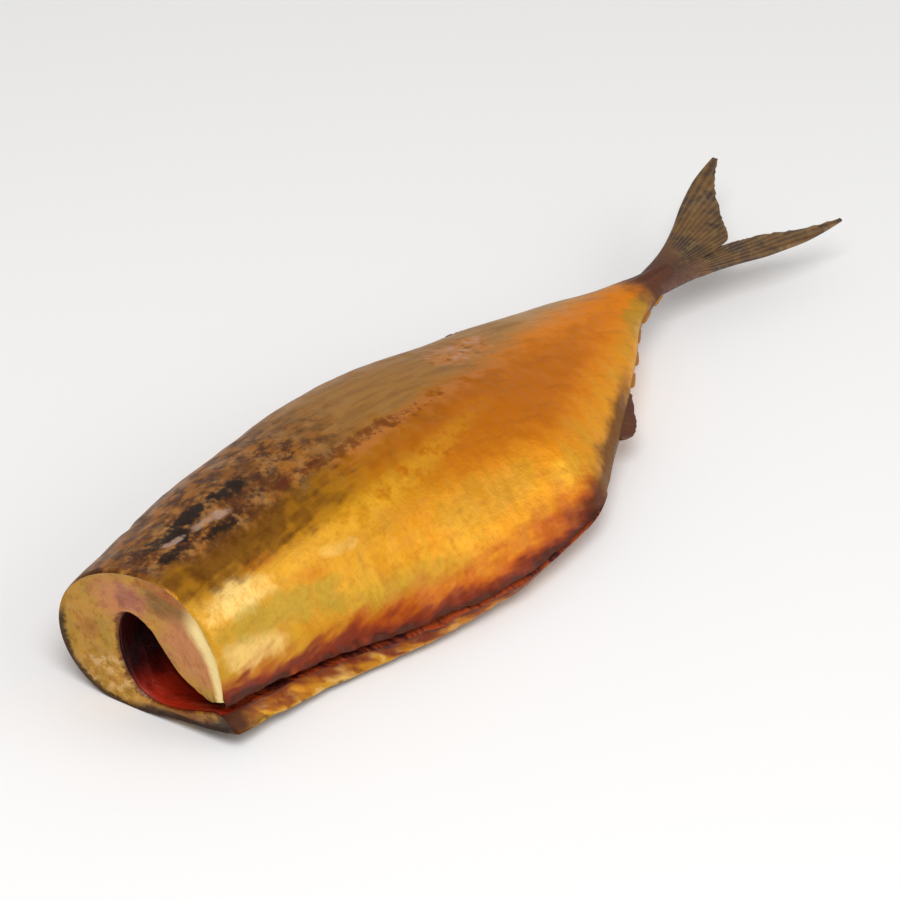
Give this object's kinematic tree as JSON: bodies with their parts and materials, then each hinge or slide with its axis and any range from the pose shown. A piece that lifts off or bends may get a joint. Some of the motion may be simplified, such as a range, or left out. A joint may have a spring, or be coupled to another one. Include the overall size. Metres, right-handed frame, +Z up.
{
  "type": "cold-smoked mackerel",
  "caption": "Headless, gutted smoked mackerel lying on its side, belly slit open from the cut to the vent, tail fin on.",
  "frame": {"origin": "middle of the footprint, on the surface that the fish lies on", "axes": "+X from the cut at the head end to the tail, +Y towards the back edge, +Z up out of the upper flank"},
  "size_m": [0.308, 0.0822, 0.0431],
  "materials": {
    "smoked_skin": "oily golden smoked fish skin, grey-brown on the back, tan flesh at the cut, dark red belly cavity, dry brown fins"
  },
  "bodies": {
    "root": {"mackerel": "smoked_skin"}
  },
  "joints": []
}
